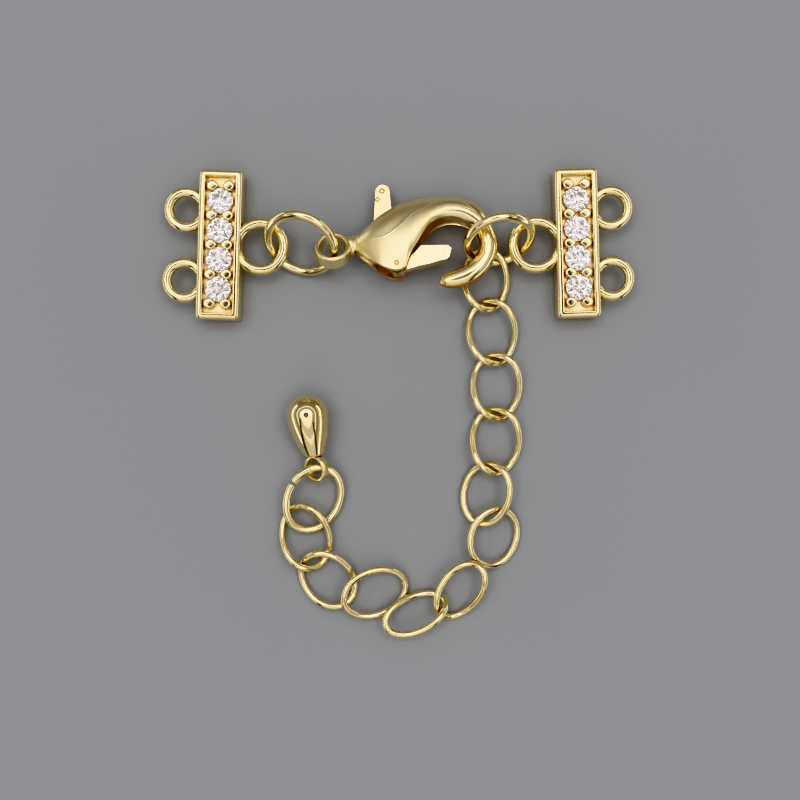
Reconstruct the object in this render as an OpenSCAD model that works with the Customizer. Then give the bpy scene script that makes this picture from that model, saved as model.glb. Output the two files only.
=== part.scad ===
// Two-strand jewellery clasp: two stone-set end bars, a lobster claw and an extender chain with a drop.
// Everything lies on the plane z = 0. X runs from the left bar to the right bar, and Y from the chain to
// the bars.

/* [End bars] */
// Length of an end bar
bar_l = 11.45; // [10.8:0.05:11.8]
// Width of an end bar
bar_w = 3.35; // [3.1:0.05:3.5]
// Height of an end bar
bar_h = 2.0; // [1.9:0.05:2.4]
// Width of the rim round the channel
rim_w = 0.53; // [0.3:0.01:0.6]
// Depth of the channel below the rim
channel_depth = 0.5; // [0.3:0.05:0.7]
// Radius of the outer corners seen from above
corner_r = 0.4; // [0.1:0.05:0.5]
// Height of the loops' wire centres above the table
loop_z = 1.45; // [1.4:0.05:1.5]
// Outer diameter of a strand loop
strand_loop_od = 3.48; // [3.4:0.02:3.6]
// Wire of a strand loop
strand_loop_wire = 0.78; // [0.7:0.02:0.86]
// Outer diameter of the inner loop that holds a jump ring
inner_loop_od = 4.4; // [4.3:0.02:4.5]
// Wire of the inner loop
inner_loop_wire = 0.8; // [0.72:0.02:0.82]

/* [Stones] */
// Stones on each bar
stone_count = 4; // [2:1:4]
// Girdle diameter of a stone
stone_d = 2.0; // [1.8:0.05:2.05]
// Distance from one stone to the next
stone_pitch = 2.25; // [2.2:0.05:2.4]
// Facets round a stone
stone_facets = 8; // [8:1:12]
// Clear gap round a stone
stone_gap = 0.03; // [0.02:0.01:0.05]
// Radius of a bead prong
prong_r = 0.42; // [0.35:0.01:0.45]

/* [Jump rings] */
// Outer diameter of the left jump ring
left_ring_od = 5.94; // [5.88:0.02:5.96]
// Outer diameter of the right jump ring
right_ring_od = 5.68; // [5.6:0.02:5.72]
// Wire of a jump ring
ring_wire = 0.7; // [0.62:0.02:0.72]

/* [Lobster claw] */
// Thickness of the lever's plate
lever_t = 1.1; // [1.0:0.05:1.2]
// Diameter of the lever's pin
pin_d = 0.5; // [0.4:0.02:0.6]
// Clear gap round the lever
lever_gap = 0.08; // [0.05:0.01:0.12]
// Angle that the lever opens
open_angle = 20; // [12:1:20]
// Outer diameter of the claw's eye
eye_od = 2.76; // [2.7:0.02:2.8]
// Wall of the claw's eye
eye_wall = 0.37; // [0.34:0.01:0.39]
// Height of the claw's eye
eye_h = 1.2; // [1.0:0.05:1.25]

/* [Chain and drop] */
// Wire of a chain link
link_wire = 0.53; // [0.48:0.01:0.54]
// Wire of the end ring
end_wire = 0.62; // [0.58:0.01:0.64]
// Largest diameter of the drop
drop_d = 3.2; // [3.1:0.02:3.24]
// Length of the drop without its eye
drop_l = 4.75; // [4.6:0.05:4.9]

/* [Hidden] */
link_count = 11;

gold = [0.93, 0.84, 0.58];
dark_gold = [0.78, 0.66, 0.38];
crystal = [0.90, 0.90, 0.97];

// Where the bars stand, and how far each is turned
left_bar_at = [-13.83, 11.86, 0];
left_bar_turn = -1.7;
right_bar_at = [13.58, 12.0, 0];
right_bar_turn = 1.6;
strand_loop_out = 0.955;
strand_loop_y = [2.65, -2.75];
inner_loop_out = 1.465;
prong_out = 0.6;
prong_base = 0.15;

// Where the jump rings lie: middle, tilt and the direction of the high side
left_ring_at = [-7.52, 11.86];
left_ring_tilt = 47;
left_ring_high = 72;
right_ring_at = [7.50, 12.10];
right_ring_tilt = 56.5;
right_ring_high = 102;

// Where the claw lies, how far it is rolled and how far its hook end is raised, where its eye and
// its pin are, and how long the cuts are that go right through it
claw_at = [1.15, 12.25, 1.70];
claw_roll = -10;
claw_pitch = -2;
eye_at = [-6.24, -0.92, 0.26];
eye_roll = -21;
pin_at = [-1.34, -2.275];
pin_l = 2.84;
pin_gap = 0.02;
cut = 4;

// The claw's sections: outer edge x and y, inner edge x and y, half height,
// height of the inner edge as a share of it, and the ridge's place from outer to inner edge
OX = 0; OY = 1; IX = 2; IY = 3; HALF = 4; EDGE = 5; RIDGE = 6;
claw_rows = [
    [-5.05,  0.30, -5.05, -1.10, 0.58, 0.60, 0.50],
    [-4.50,  0.38, -4.52, -1.14, 0.62, 0.65, 0.50],
    [-4.02,  0.72, -4.12, -1.30, 0.88, 0.72, 0.52],
    [-3.29,  1.46, -3.48, -1.78, 1.22, 0.80, 0.55],
    [-2.45,  2.13, -2.72, -2.29, 1.46, 0.84, 0.56],
    [-1.62,  2.64, -1.98, -2.66, 1.58, 0.85, 0.57],
    [-0.90,  2.92, -1.26, -2.80, 1.62, 0.85, 0.58],
    [-0.20,  3.10, -0.72, -2.50, 1.62, 0.85, 0.60],
    [ 0.45,  3.22, -0.38, -1.55, 1.58, 0.85, 0.62],
    [ 1.10,  3.31,  0.12, -0.72, 1.51, 0.84, 0.64],
    [ 1.75,  3.37,  0.64,  0.15, 1.44, 0.83, 0.66],
    [ 2.42,  3.40,  1.22,  0.94, 1.38, 0.83, 0.68],
    [ 3.12,  3.36,  1.98,  1.39, 1.34, 0.82, 0.69],
    [ 3.86,  3.20,  2.72,  1.51, 1.30, 0.80, 0.69],
    [ 4.60,  2.85,  3.44,  1.40, 1.24, 0.76, 0.68],
    [ 5.25,  2.28,  4.04,  1.06, 1.14, 0.68, 0.64],
    [ 5.72,  1.58,  4.45,  0.65, 1.02, 0.56, 0.60],
    [ 6.10,  0.78,  4.70,  0.08, 0.90, 0.42, 0.55],
    [ 6.29, -0.12,  4.82, -0.50, 0.80, 0.28, 0.52],
    [ 6.26, -0.94,  4.75, -1.02, 0.74, 0.22, 0.50],
    [ 6.00, -1.70,  4.57, -1.42, 0.72, 0.20, 0.50],
    [ 5.50, -2.48,  4.25, -1.78, 0.70, 0.20, 0.50],
    [ 4.88, -3.07,  3.84, -2.06, 0.68, 0.20, 0.50],
    [ 4.08, -3.55,  3.33, -2.30, 0.64, 0.20, 0.50],
    [ 3.06, -3.80,  2.81, -2.50, 0.58, 0.20, 0.50],
    [ 2.38, -3.76,  2.35, -2.74, 0.47, 0.20, 0.50],
    [ 1.98, -3.50,  2.02, -3.00, 0.26, 0.20, 0.50]];
claw_tip = [1.90, -3.25, 0];
claw_steps = 2;

// The thin stretch of the belly that the lever's hub shows through
mouth = [[-2.95, -1.6], [-2.95, -3.2], [0.2, -3.2], [0.5, -1.2], [0.6, -0.2], [-0.9, -0.9],
    [-2.2, -1.5]];
mouth_half = 1.0;
pocket = [[-4.55, -0.95], [-4.55, -1.6], [-3.75, -1.9], [-3.75, -1.2]];
pocket_half = 0.5;

// The lever's outline: the gate's blade and the tab, both running to the hub
hub_r = 0.44;
tab_tip = [-2.50, 3.70];
tab_tip_r = 0.53;
tab_root = [-2.42, 1.2];
tab_root_r = 0.72;
lever_corner_r = 0.12;
gate_edge = [[-1.3, -1.75], [-0.1, -1.30], [0.48, -0.62], [2.50, -0.62], [2.76, -0.84],
    [2.62, -1.50], [2.42, -1.70], [1.92, -1.80], [1.15, -2.04], [0.38, -2.20], [-0.38, -2.42], [-1.3, -2.7]];

// The chain's links: middle x and y, heading, half length and half width of the wire's centre line,
// how far the front end rises, the left side rises and the ends twist, and how much wider the front is.
LX = 0; LY = 1; HEAD = 2; HL = 3; HW = 4; FRONT = 5; SIDE = 6; TWIST = 7; TAPER = 8;
links = [
    [ 6.60,   9.30,  -87, 2.32, 1.65,  0.10,  0.00, 0.90, 0.0],
    [ 7.10,   5.25,  -84, 2.43, 1.80,  0.00,  0.00, 1.00, 0.0],
    [ 7.45,   1.05,  -90, 2.45, 1.80,  0.00,  0.00, 1.00, 0.0],
    [ 7.40,  -3.15,  -91, 2.45, 1.80,  0.15,  0.00, 1.00, 0.0],
    [ 6.65,  -7.25, -103, 2.35, 1.70, -0.20,  0.70, 0.25, 0.0],
    [ 7.25, -10.60, -110, 2.25, 1.80,  0.00, -0.55, 0.00, 0.0],
    [ 4.65, -14.70, -126, 2.40, 1.50, -0.45, -0.20, 0.75, 0.0],
    [ 1.20, -16.45, -158, 2.45, 1.25,  0.30,  0.55, 0.50, 0.1],
    [-1.95, -14.90, -160, 2.45, 1.75,  0.40, -0.45, 0.10, 0.0],
    [-5.60, -13.90,  135, 2.35, 1.80,  0.15, -0.15, 0.65, 0.0],
    [-7.30, -10.60,  105, 2.45, 1.80,  0.00, -0.05, 0.90, 0.0]];
end_row = [-6.68, -7.62, 62, 2.55, 1.95, 0.10, 0.50, 0.10, 0.0];
table_gap = 0.01;
link_segments = 16;
wire_sides = 6;

// The end ring's open joint
end_gap_at = 82;
end_gap = 4;
end_segments = 20;

// The drop: middle of its ball, heading of its axis, slope of the axis down to its eye, and the eye
drop_at = [-7.12, -1.10];
drop_heading = -80.5;
drop_slope = 6;
drop_eye_od = 2.14;
drop_eye_wall = 0.3;
drop_eye_w = 0.62;
drop_eye_turn = 40;
drop_eye_sink = 0.1;

// Section of a smooth curve through four rows at t from 0 to 1
function between(a, b, c, d, t) =
    0.5 * (2 * b + (c - a) * t + (2 * a - 5 * b + 4 * c - d) * t * t + (3 * b - a - 3 * c + d) * t * t * t);

function row_at(rows, u) =
    let (n = len(rows) - 1, i = min(floor(u), n - 1), t = u - i)
    between(rows[max(i - 1, 0)], rows[i], rows[i + 1], rows[min(i + 2, n)], t);

// Points round one section, from the outer edge over the top to the inner edge and back below
function half_section(row, side) = concat(
    [for (a = [side > 0 ? 0 : 18 : 18 : 89])
        let (s = row[RIDGE] * (1 - cos(a))) section_point(row, s, side * row[HALF] * sin(a))],
    [for (a = [0 : 22.5 : 90])
        let (s = row[RIDGE] + (1 - row[RIDGE]) * sin(a), drop_off = 1 - row[EDGE] * row[EDGE])
        section_point(row, s, side * row[HALF] * sqrt(1 - drop_off * sin(a) * sin(a)))]);
function section_point(row, s, z) =
    [row[OX] + s * (row[IX] - row[OX]), row[OY] + s * (row[IY] - row[OY]), z];
function reversed(list) = [for (i = [len(list) - 1 : -1 : 0]) list[i]];
function section(row) = concat(half_section(row, 1), reversed(half_section(row, -1)));

// Skin over a list of closed rings of points, with a fan at the start and a point at the end
module skin(rings, tip) {
    m = len(rings[0]);
    n = len(rings);
    points = concat([for (r = rings) for (p = r) p], [tip]);
    polyhedron(points, concat(
        [[for (k = [0 : m - 1]) k]],
        [for (i = [0 : n - 2]) for (k = [0 : m - 1]) let (k2 = (k + 1) % m)
            [i * m + k, (i + 1) * m + k, (i + 1) * m + k2, i * m + k2]],
        [for (k = [0 : m - 1]) [(n - 1) * m + k, n * m, (n - 1) * m + (k + 1) % m]]));
}

// Round brilliant stone with its girdle's top at z = 0: table, crown, girdle and pavilion
table_share = 0.57;
star_share = 0.83;
star_height = 0.47;
crown_h = 0.30;
girdle_h = 0.06;
pavilion_h = 0.84;
seat_top_share = 0.72;
seat_tip_r = 0.06;
function stone_ring(r, z, n, start) =
    [for (k = [0 : n - 1]) [r * cos(start + 360 * k / n), r * sin(start + 360 * k / n), z]];

module stone() {
    n = stone_facets;
    r = stone_d / 2;
    turn = 180 / n;
    table = stone_ring(r * table_share, crown_h, n, 0);
    star = stone_ring(r * star_share, crown_h * star_height, n, turn);
    top = stone_ring(r, 0, 2 * n, 0);
    low = stone_ring(r, -girdle_h, 2 * n, 0);
    culet = [[0, 0, -girdle_h - pavilion_h]];
    points = concat(table, star, top, low, culet);
    s0 = n; g0 = 2 * n; l0 = 4 * n; c0 = 6 * n;
    polyhedron(points, concat(
        [[for (k = [n - 1 : -1 : 0]) k]],
        [for (k = [0 : n - 1]) [k, (k + 1) % n, s0 + k]],
        [for (k = [0 : n - 1]) [k, s0 + k, g0 + 2 * k]],
        [for (k = [0 : n - 1]) let (before = (k + n - 1) % n) [k, g0 + 2 * k, s0 + before]],
        [for (k = [0 : n - 1]) [s0 + k, g0 + 2 * k + 1, g0 + 2 * k]],
        [for (k = [0 : n - 1]) [s0 + k, g0 + (2 * k + 2) % (2 * n), g0 + 2 * k + 1]],
        [for (k = [0 : 2 * n - 1]) let (k2 = (k + 1) % (2 * n)) [g0 + k, g0 + k2, l0 + k2, l0 + k]],
        [for (k = [0 : 2 * n - 1]) [l0 + k, l0 + (k + 1) % (2 * n), c0]]));
}

girdle_drop = 0.24;
girdle_z = bar_h - girdle_drop;
function stone_y(i) = (stone_count / 2 - i + 0.5) * stone_pitch;

module bar_frame(at, turn) {
    translate(at) rotate([0, 0, turn]) children();
}

// Room cut for a stone: the girdle, the crown above it and the pavilion below
module stone_seat() {
    r = stone_d / 2 + stone_gap;
    translate([0, 0, crown_h]) cylinder(h = bar_h, r = r * seat_top_share, $fn = 48);
    cylinder(h = crown_h + 0.001, r1 = r, r2 = r * seat_top_share, $fn = 48);
    translate([0, 0, -girdle_h - stone_gap]) cylinder(h = girdle_h + stone_gap, r = r, $fn = 48);
    translate([0, 0, -girdle_h - stone_gap - pavilion_h])
        cylinder(h = pavilion_h, r1 = seat_tip_r, r2 = r, $fn = 48);
}

module loop(od, wire) {
    rotate_extrude($fn = 48) translate([(od - wire) / 2, 0]) circle(d = wire, $fn = 32);
}

// The bar's block, with rounded upright corners
module block() {
    inside_w = bar_w - 2 * corner_r;
    inside_l = bar_l - 2 * corner_r;
    translate([-bar_w / 2, -inside_l / 2, 0]) cube([bar_w, inside_l, bar_h]);
    translate([-inside_w / 2, -bar_l / 2, 0]) cube([inside_w, bar_l, bar_h]);
    for (x = [-inside_w / 2, inside_w / 2]) for (y = [-inside_l / 2, inside_l / 2])
        translate([x, y, 0]) cylinder(h = bar_h, r = corner_r, $fn = 48);
}

// An end bar whose strand loops lie on its outer side, which is -X when side is -1
module end_bar(side) {
    half_l = bar_l / 2;
    half_w = bar_w / 2;
    difference() {
        union() {
            difference() {
                union() {
                    block();
                    for (y = strand_loop_y)
                        translate([side * (half_w + strand_loop_out), y, loop_z])
                            loop(strand_loop_od, strand_loop_wire);
                    translate([-side * (half_w + inner_loop_out), 0, loop_z])
                        loop(inner_loop_od, inner_loop_wire);
                }
                translate([-half_w + rim_w, -half_l + rim_w, bar_h - channel_depth])
                    cube([bar_w - 2 * rim_w, bar_l - 2 * rim_w, bar_h]);
            }
            for (i = [0 : stone_count]) for (x = [-1, 1])
                translate([x * prong_out, (stone_count / 2 - i) * stone_pitch, bar_h - channel_depth])
                    prong();
        }
        for (i = [1 : stone_count]) translate([0, stone_y(i), girdle_z]) stone_seat();
    }
}

// A bead of metal raised from the channel's floor
module prong() {
    sink = 0.05;
    translate([0, 0, -sink]) cylinder(h = prong_base + sink, r = prong_r, $fn = 32);
    translate([0, 0, prong_base]) sphere(r = prong_r, $fn = 32);
}

module stone_on(at, turn, i) {
    color(crystal) bar_frame(at, turn) translate([0, stone_y(i), girdle_z]) stone();
}

module left_bar() { color(gold) bar_frame(left_bar_at, left_bar_turn) end_bar(-1); }
module right_bar() { color(gold) bar_frame(right_bar_at, right_bar_turn) end_bar(1); }

// A jump ring whose upper side points in the direction high
module jump_ring(at, tilt, high, od) {
    rest_z = (od - ring_wire) / 2 * sin(tilt) + ring_wire / 2 + table_gap;
    translate([at[0], at[1], rest_z]) rotate([0, 0, high - 90]) rotate([tilt, 0, 0]) loop(od, ring_wire);
}

module left_jump_ring() {
    color(gold) jump_ring(left_ring_at, left_ring_tilt, left_ring_high, left_ring_od);
}
module right_jump_ring() {
    color(gold) jump_ring(right_ring_at, right_ring_tilt, right_ring_high, right_ring_od);
}

module claw_frame() {
    translate(claw_at) rotate([claw_roll, claw_pitch, 0]) children();
}

module eye_frame() {
    translate(eye_at) rotate([eye_roll, 0, 0]) children();
}

module eye() {
    r = eye_od / 2;
    eye_frame() rotate_extrude($fn = 40) hull() {
        translate([r - eye_wall / 2, eye_h / 2 - eye_wall / 2]) circle(d = eye_wall, $fn = 12);
        translate([r - eye_wall / 2, -eye_h / 2 + eye_wall / 2]) circle(d = eye_wall, $fn = 12);
    }
}

module tab_shape(grow) {
    hull() {
        translate(tab_tip) circle(r = tab_tip_r + grow, $fn = 32);
        translate(tab_root) circle(r = tab_root_r + grow, $fn = 32);
    }
}

module body_shape(grow) {
    hull() {
        translate(pin_at) circle(r = hub_r + grow, $fn = 32);
        translate(tab_root) circle(r = tab_root_r + grow, $fn = 32);
    }
}

module gate_shape(grow) {
    offset(delta = grow) polygon(gate_edge);
}

// Room for the lever at every angle from shut to open
module lever_sweep() {
    steps = 8;
    half = lever_t / 2 + lever_gap;
    translate([0, 0, -half]) linear_extrude(2 * half) for (i = [0 : steps - 1]) {
        sweep_step(i, steps) tab_shape(lever_gap);
        sweep_step(i, steps) gate_shape(lever_gap);
        sweep_step(i, steps) body_shape(lever_gap);
    }
}

module about_pin(angle) {
    translate(pin_at) rotate(angle) translate(-pin_at) children();
}

module sweep_step(i, steps) {
    hull() {
        about_pin(open_angle * i / steps) children();
        about_pin(open_angle * (i + 1) / steps) children();
    }
}

module clasp_body() {
    last = len(claw_rows) - 1;
    rings = [for (u = [0 : 1 / claw_steps : last]) section(row_at(claw_rows, u))];
    color(gold) claw_frame() difference() {
        union() {
            skin(rings, claw_tip);
            eye();
        }
        lever_sweep();
        translate([0, 0, -mouth_half]) linear_extrude(2 * mouth_half) polygon(mouth);
        translate([0, 0, -pocket_half]) linear_extrude(2 * pocket_half) polygon(pocket);
        translate(pin_at) cylinder(h = cut, d = pin_d + 2 * pin_gap, center = true, $fn = 32);
        eye_frame() cylinder(h = cut, r = eye_od / 2 - eye_wall, center = true, $fn = 40);
    }
}

module lever_outline() {
    offset(r = lever_corner_r, $fn = 16) offset(delta = -lever_corner_r) union() {
        tab_shape(0);
        body_shape(0);
        polygon(gate_edge);
    }
}

module lever() {
    color(dark_gold) claw_frame() translate([0, 0, -lever_t / 2]) linear_extrude(lever_t) difference() {
        lever_outline();
        translate(pin_at) circle(d = pin_d + 2 * pin_gap, $fn = 32);
    }
}

module lever_pin() {
    color(gold) claw_frame() translate(pin_at) cylinder(h = pin_l, d = pin_d, center = true, $fn = 32);
}

// Height of a link's centre line at angle t above its middle, and the middle's height when it rests
function rise(row, t) = row[FRONT] * cos(t) + row[SIDE] * sin(t) - row[TWIST] * sin(t) * cos(t);
function rest_z(row, wire) = wire / 2 + table_gap - min([for (t = [0 : 5 : 355]) rise(row, t)]);

// Centre line of a link at angle t
function link_point(row, wire, t) =
    let (a = row[HL] * cos(t), b = row[HW] * (1 + row[TAPER] * cos(t)) * sin(t),
         c = cos(row[HEAD]), d = sin(row[HEAD]))
    [row[LX] + a * c - b * d, row[LY] + a * d + b * c, rest_z(row, wire) + rise(row, t)];

function unit(v) = v / norm(v);

// Ring of points round the wire at one point of a path, square to the path
function wire_ring(p, along, d, n) =
    let (side = unit(cross(along, [0, 0, 1])), up = cross(side, along))
    [for (k = [0 : n - 1]) p + d / 2 * (side * cos(360 * (k + 0.5) / n) + up * sin(360 * (k + 0.5) / n))];

// A closed loop of wire through a ring of points
module closed_wire(path, d, sides) {
    n = len(path);
    rings = [for (i = [0 : n - 1])
        wire_ring(path[i], unit(path[(i + 1) % n] - path[(i + n - 1) % n]), d, sides)];
    polyhedron([for (r = rings) for (p = r) p],
        [for (i = [0 : n - 1]) for (k = [0 : sides - 1]) let (i2 = (i + 1) % n, k2 = (k + 1) % sides)
            [i * sides + k, i * sides + k2, i2 * sides + k2, i2 * sides + k]]);
}

// An open stretch of wire with flat ends
module open_wire(path, d, sides) {
    n = len(path);
    rings = [for (i = [0 : n - 1])
        wire_ring(path[i], unit(path[min(i + 1, n - 1)] - path[max(i - 1, 0)]), d, sides)];
    polyhedron([for (r = rings) for (p = r) p], concat(
        [[for (k = [sides - 1 : -1 : 0]) k]],
        [[for (k = [0 : sides - 1]) (n - 1) * sides + k]],
        [for (i = [0 : n - 2]) for (k = [0 : sides - 1]) let (k2 = (k + 1) % sides)
            [i * sides + k, i * sides + k2, (i + 1) * sides + k2, (i + 1) * sides + k]]));
}

module chain_link(i) {
    row = links[i - 1];
    path = [for (k = [0 : link_segments - 1]) link_point(row, link_wire, 360 * k / link_segments)];
    color(gold) closed_wire(path, link_wire, wire_sides);
}

module end_ring() {
    path = [for (k = [0 : end_segments])
        link_point(end_row, end_wire, end_gap_at + end_gap / 2 + (360 - end_gap) * k / end_segments)];
    color(gold) open_wire(path, end_wire, wire_sides);
}

// The drop's radius at a distance along its axis from the blunt end
ball_at = 1.5;
neck_r = 0.72;
function drop_radius(s) = s < ball_at
    ? drop_d / 2 * sqrt(1 - pow((ball_at - s) / ball_at, 2))
    : neck_r + (drop_d / 2 - neck_r) * cos(90 * (s - ball_at) / (drop_l - ball_at));

module drop() {
    color(gold) translate([drop_at[0], drop_at[1], drop_d / 2 + 2 * table_gap])
        rotate([0, drop_slope, drop_heading]) {
        rotate([0, 90, 0]) translate([0, 0, -ball_at]) rotate_extrude($fn = 48) polygon(concat(
            [for (a = [0 : 15 : 75]) let (s = ball_at * (1 - cos(a))) [drop_radius(s), s]],
            [for (k = [0 : 12]) let (s = ball_at + (drop_l - ball_at) * k / 12) [drop_radius(s), s]],
            [[0, drop_l]]));
        translate([drop_l - ball_at + drop_eye_od / 2 - drop_eye_sink, 0, 0]) rotate([drop_eye_turn, 0, 0])
            drop_eye();
    }
}

// The drop's eye: a short round band with rounded edges
module drop_eye() {
    edge = (drop_eye_w - drop_eye_wall) / 2;
    rotate_extrude($fn = 40) translate([(drop_eye_od - drop_eye_wall) / 2, 0]) {
        square([drop_eye_wall, 2 * edge], center = true);
        for (y = [-edge, edge]) translate([0, y]) circle(d = drop_eye_wall, $fn = 24);
    }
}

left_bar();
right_bar();
for (i = [1 : stone_count]) {
    stone_on(left_bar_at, left_bar_turn, i);
    stone_on(right_bar_at, right_bar_turn, i);
}
left_jump_ring();
right_jump_ring();
clasp_body();
lever();
lever_pin();
for (i = [1 : link_count]) {
    chain_link(i);
}
end_ring();
drop();
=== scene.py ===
import contextlib
import math

import bmesh
import bpy
import numpy as np
from bpy.props import FloatProperty, FloatVectorProperty, PointerProperty
from mathutils import Matrix, Vector
from mathutils.kdtree import KDTree


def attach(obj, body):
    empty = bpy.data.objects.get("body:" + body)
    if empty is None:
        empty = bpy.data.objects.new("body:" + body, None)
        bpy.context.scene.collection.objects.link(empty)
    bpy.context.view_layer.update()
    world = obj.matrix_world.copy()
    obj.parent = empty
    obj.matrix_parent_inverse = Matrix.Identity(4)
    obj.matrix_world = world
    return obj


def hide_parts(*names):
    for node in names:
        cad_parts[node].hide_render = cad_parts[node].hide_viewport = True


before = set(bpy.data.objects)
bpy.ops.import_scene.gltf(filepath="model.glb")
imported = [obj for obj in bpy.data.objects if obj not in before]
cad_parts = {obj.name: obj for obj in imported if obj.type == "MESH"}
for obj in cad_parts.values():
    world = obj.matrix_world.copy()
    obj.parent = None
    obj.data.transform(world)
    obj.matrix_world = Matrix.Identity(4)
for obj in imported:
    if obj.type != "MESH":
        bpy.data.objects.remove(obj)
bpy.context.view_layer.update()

bl_info = {
    "name": "Two-Strand Clasp",
    "version": (1, 0, 0),
    "blender": (4, 5, 0),
    "location": "View3D > Sidebar > Clasp",
    "description": "Builds a stone-set two-strand clasp with a lobster claw and an extender chain",
    "category": "Object",
}

MM = 0.001
BODY = "clasp"
LEVER_BODY = "lever"
GOLD_SLOT = "gold_plating"
STONE_SLOT = "crystal"
STONE_COUNT = 4

# Where the bars stand, how far each is turned and how far the stones' facets are, in mm and degrees
BARS = {
    "left": {"at": (-13.83, 11.86, 0), "turn": -1.7, "side": -1, "facets": 16},
    "right": {"at": (13.58, 12.0, 0), "turn": 1.6, "side": 1, "facets": 42},
}
FACETS_STEP = 17
STRAND_LOOP_OUT = 0.955
STRAND_LOOP_Y = (2.65, -2.75)
INNER_LOOP_OUT = 1.465
PRONG_OUT = 0.66
PRONG_R = 0.40
PRONG_TIP_OUT = 0.36
PRONG_TIP_R = 0.14
# A prong's rim from its side to its top: share of its outline and height above the channel, in mm
PRONG_ROUNDING = ((1.0, 0.41), (0.97, 0.47), (0.92, 0.505), (0.84, 0.53), (0.72, 0.548), (0.58, 0.556),
                  (0.3, 0.56))
GIRDLE_DROP = 0.24
CROWN_H = 0.30
GIRDLE_H = 0.06
PAVILION_H = 0.84
SEAT_GAP = 0.03

# Where the jump rings lie: middle, tilt and the direction of the high side
JUMP_RINGS = {
    "left": {"at": (-7.52, 11.86), "tilt": 47, "high": 72},
    "right": {"at": (7.50, 12.10), "tilt": 56.5, "high": 102},
}
TABLE_GAP = 0.01

# Where the claw lies, and its eye, pin and hub
CLAW_AT = (1.15, 12.25, 1.70)
CLAW_ROLL = -10
CLAW_PITCH = -2
EYE_AT = (-6.24, -0.92, 0.26)
EYE_ROLL = -21
PIN_AT = (-1.34, -2.275)
PIN_LENGTH = 2.84
PIN_GAP = 0.02
LEVER_GAP = 0.08
OPEN_ANGLE = 20
HUB_R = 0.44
TAB_TIP = (-2.50, 3.70)
TAB_TIP_R = 0.53
TAB_ROOT = (-2.42, 1.2)
TAB_ROOT_R = 0.72

# Along the claw's rows: where its crease runs from the outer to the inner edge, and how deep it is
CREASE_AT = ((0, 3, 4, 5, 6, 7, 10, 13, 16), (0.60, 0.60, 0.57, 0.49, 0.37, 0.29, 0.28, 0.36, 0.50))
CREASE_DEPTH = ((0, 3, 5, 13, 15, 17), (0.0, 0.0, 0.02, 0.02, 0.01, 0.0))
# The crease's line: its attribute, half its width, its point in a section and how near a vertex lies to it
CREASE_LINE = "crease_line"
CREASE_LINE_HALF = 0.07
CREASE_POINT = 18
CREASE_NEAR = 0.01
SECTIONS_PER_ROW = 6
LIP = 0.10
GROOVE_DEPTH = 0.34
NECK_AT = (-4.93, -0.42, 0.02)
NECK_R = (0.62, 0.74, 0.66)
MOUTH_HALF = 1.0
POCKET_HALF = 0.6

# The claw's sections: outer edge x and y, inner edge x and y, half height, height of the inner edge as a
# share of it, and the ridge's place from outer to inner edge
CLAW_ROWS = (
    (-5.05, 0.30, -5.05, -1.10, 0.58, 0.60, 0.50),
    (-4.50, 0.38, -4.52, -1.14, 0.62, 0.65, 0.50),
    (-4.02, 0.72, -4.12, -1.30, 0.88, 0.72, 0.52),
    (-3.29, 1.46, -3.48, -1.78, 1.22, 0.80, 0.55),
    (-2.45, 2.13, -2.72, -2.29, 1.46, 0.90, 0.56),
    (-1.62, 2.64, -1.98, -2.66, 1.58, 0.92, 0.57),
    (-0.90, 2.92, -1.26, -2.80, 1.62, 0.92, 0.58),
    (-0.20, 3.10, -0.72, -2.50, 1.62, 0.91, 0.60),
    (0.45, 3.22, -0.38, -1.55, 1.58, 0.90, 0.62),
    (1.10, 3.31, 0.12, -0.72, 1.51, 0.88, 0.64),
    (1.75, 3.37, 0.64, 0.15, 1.44, 0.86, 0.66),
    (2.42, 3.40, 1.22, 0.94, 1.38, 0.83, 0.68),
    (3.12, 3.36, 1.98, 1.39, 1.34, 0.82, 0.69),
    (3.86, 3.20, 2.72, 1.51, 1.30, 0.80, 0.69),
    (4.60, 2.85, 3.44, 1.40, 1.24, 0.76, 0.68),
    (5.25, 2.28, 4.04, 1.06, 1.14, 0.68, 0.64),
    (5.72, 1.58, 4.45, 0.65, 1.02, 0.56, 0.60),
    (6.10, 0.78, 4.70, 0.08, 0.90, 0.42, 0.55),
    (6.29, -0.12, 4.82, -0.50, 0.80, 0.28, 0.52),
    (6.26, -0.94, 4.75, -1.02, 0.74, 0.22, 0.50),
    (6.00, -1.70, 4.57, -1.42, 0.72, 0.20, 0.50),
    (5.50, -2.48, 4.25, -1.78, 0.70, 0.20, 0.50),
    (4.88, -3.07, 3.84, -2.06, 0.68, 0.20, 0.50),
    (4.08, -3.55, 3.33, -2.30, 0.64, 0.20, 0.50),
    (3.06, -3.80, 2.81, -2.50, 0.58, 0.20, 0.50),
    (2.38, -3.78, 2.35, -2.70, 0.49, 0.20, 0.50),
    (2.02, -3.62, 2.04, -2.88, 0.34, 0.20, 0.50),
)
CLAW_TIP = (1.88, -3.25)
# Outlines of the cuts for the mouth and for the pocket that the lever's root lies in
MOUTH = ((-2.95, -1.6), (-2.95, -3.2), (0.2, -3.2), (0.5, -1.2), (0.6, -0.2), (-0.9, -0.9), (-2.2, -1.5))
POCKET = ((-4.60, -0.95), (-4.60, -1.6), (-3.7, -2.2), (-2.9, -2.8), (-2.9, -1.75), (-3.6, -1.42))

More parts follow.
